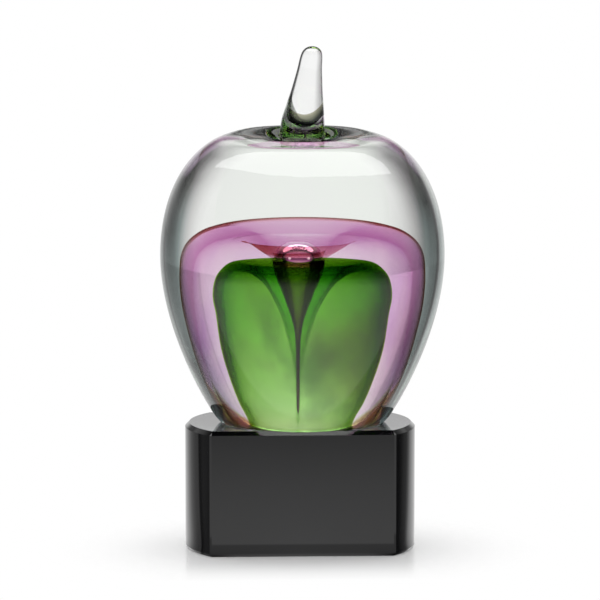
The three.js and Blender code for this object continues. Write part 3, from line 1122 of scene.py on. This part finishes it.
def choose(tree, switch, otherwise, chosen):
    mix = add_node(tree, "ShaderNodeMix", data_type="FLOAT")
    for number, value in ((0, switch), (2, otherwise), (3, chosen)):
        feed(tree, mix.inputs[number], value)
    return mix.outputs[0]


def studio_world(surroundings):
    """The room: white to the eye, and otherwise what the polish mirrors and the glass bends."""
    world = bpy.data.worlds.new("studio")
    bpy.context.scene.world = world
    world.use_nodes = True
    tree = world.node_tree
    way = add_node(tree, "ShaderNodeTexCoord").outputs["Generated"]
    around = use_group(tree, surroundings, Way=way)
    behind = around["Behind"]
    _, _, z = apart(tree, way)
    # the lit panel behind the award, as the glass bends it
    wide = ramp(tree, behind, [(0.197, 1.0), (0.203, 0.0)])
    tall = ramp(tree, z, [(0.440, 1.0), (0.450, 0.0)])
    sides = ramp(
        tree, behind, [(0.20, 0.72), (0.25, 0.68), (0.30, 0.56), (0.36, 0.48), (1.0, 0.85)]
    )
    base = plus(tree, sides, times(tree, wide, 0.22))
    panel = times(tree, wide, tall, less(tree, 1.0, base))
    through = times(tree, plus(tree, base, panel), around["Wall"])
    # the polish mirrors a dark room in front of the award and lit walls beside and behind it
    walls = ramp(tree, behind, [(0.0, 1.0), (0.40, 0.9), (0.52, 0.05)])
    higher = ramp(
        tree,
        z,
        [(0.12, 1.0), (0.24, 0.30), (0.34, 0.35), (0.41, 1.0), (0.52, 1.0), (0.60, 0.25)],
    )
    mirrored = times(tree, around["Mirrored"], times(tree, walls, higher))
    path = add_node(tree, "ShaderNodeLightPath").outputs
    level = choose(tree, path["Is Glossy Ray"], 0.6, mirrored)
    level = choose(tree, path["Is Transmission Ray"], level, through)
    level = choose(tree, path["Is Camera Ray"], level, 1.0)
    background = tree.nodes["Background"]
    feed(tree, background.inputs["Strength"], level)
    feed(tree, background.inputs["Color"], WHITE)


def top_softbox():
    """It lights the table. The polish mirrors the panel below in its place."""
    light = bpy.data.lights.new("top_softbox", "AREA")
    light.shape = "ELLIPSE"
    light.size = 2.6
    light.size_y = 1.5
    light.energy = 24
    lamp = bpy.data.objects.new("top_softbox", light)
    bpy.context.scene.collection.objects.link(lamp)
    lamp.location = (0, LIGHT_BACK, LIGHT_HEIGHT)
    lamp.rotation_mode = "QUATERNION"
    lamp.rotation_quaternion = Vector((0, 0, -LIGHT_HEIGHT)).to_track_quat("-Z", "Y")
    lamp.visible_glossy = False


SOFT_LIGHT_OUTLINE = [
    (-1.155, 0.828), (-0.921, 0.763), (-0.673, 0.636), (-0.320, 0.434), (-0.018, 0.337),
    (0.326, 0.400), (0.634, 0.564), (0.944, 0.600), (1.380, 0.532), (1.006, -0.038),
    (0.692, -0.317), (0.350, -0.470), (-0.032, -0.541), (-0.444, -0.381), (-0.692, -0.124),
    (-0.929, 0.289),
]


def mirrored_light():
    """The soft light overhead as the apple's polish mirrors it: a lens with drawn-out corners."""
    lay_down_tools()
    bpy.ops.mesh.primitive_circle_add(
        vertices=len(SOFT_LIGHT_OUTLINE), radius=1.0, fill_type="NGON", location=(0, 0, 0)
    )
    panel = bpy.context.object
    panel.name = "soft_light_panel"
    for vertex, (x, y) in zip(panel.data.vertices, SOFT_LIGHT_OUTLINE):
        vertex.co = (x, y, LIGHT_HEIGHT)
    material, tree, _, output = new_material("soft_light_panel")
    feed(tree, output.inputs["Surface"], glow_of(tree, 2.5))
    panel.data.materials.append(material)
    panel.visible_diffuse = False
    panel.visible_transmission = False


def studio_camera():
    data = bpy.data.cameras.new("photo_camera")
    camera = bpy.data.objects.new("photo_camera", data)
    bpy.context.scene.collection.objects.link(camera)
    rise, turn = math.radians(CAMERA_RISE), math.radians(CAMERA_TURN)
    back = Vector(
        (-math.sin(turn) * math.cos(rise), -math.cos(turn) * math.cos(rise), math.sin(rise))
    )
    camera.location = Vector(CAMERA_AIM) + back * CAMERA_AWAY
    camera.rotation_mode = "QUATERNION"
    camera.rotation_quaternion = (-back).to_track_quat("-Z", "Y")
    data.sensor_width = SENSOR_WIDTH
    data.lens = SENSOR_WIDTH * FOCAL_PIXELS / PICTURE_PIXELS
    data.clip_start, data.clip_end = 0.05, 30
    bpy.context.scene.camera = camera


crystal_block(black_crystal())
clear_apple(clear_glass())
drifts = drift_group()
places = place_group()
pink_bell(pink_glass(drifts, places))
green_bell(green_glass(drifts, places))
# the bond film is the CAD's own, with cured resin on it
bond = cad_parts["bond_film"]
bond.data.materials.clear()
bond.data.materials.append(cured_bond())

surroundings = surroundings_group()
white_floor(surroundings)
studio_world(surroundings)
top_softbox()
mirrored_light()
studio_camera()

scene = bpy.context.scene
scene.view_settings.view_transform = "Standard"
scene.cycles.max_bounces = 40
scene.cycles.transmission_bounces = 40
scene.cycles.glossy_bounces = 12
scene.cycles.transparent_max_bounces = 40
scene.cycles.diffuse_bounces = 3
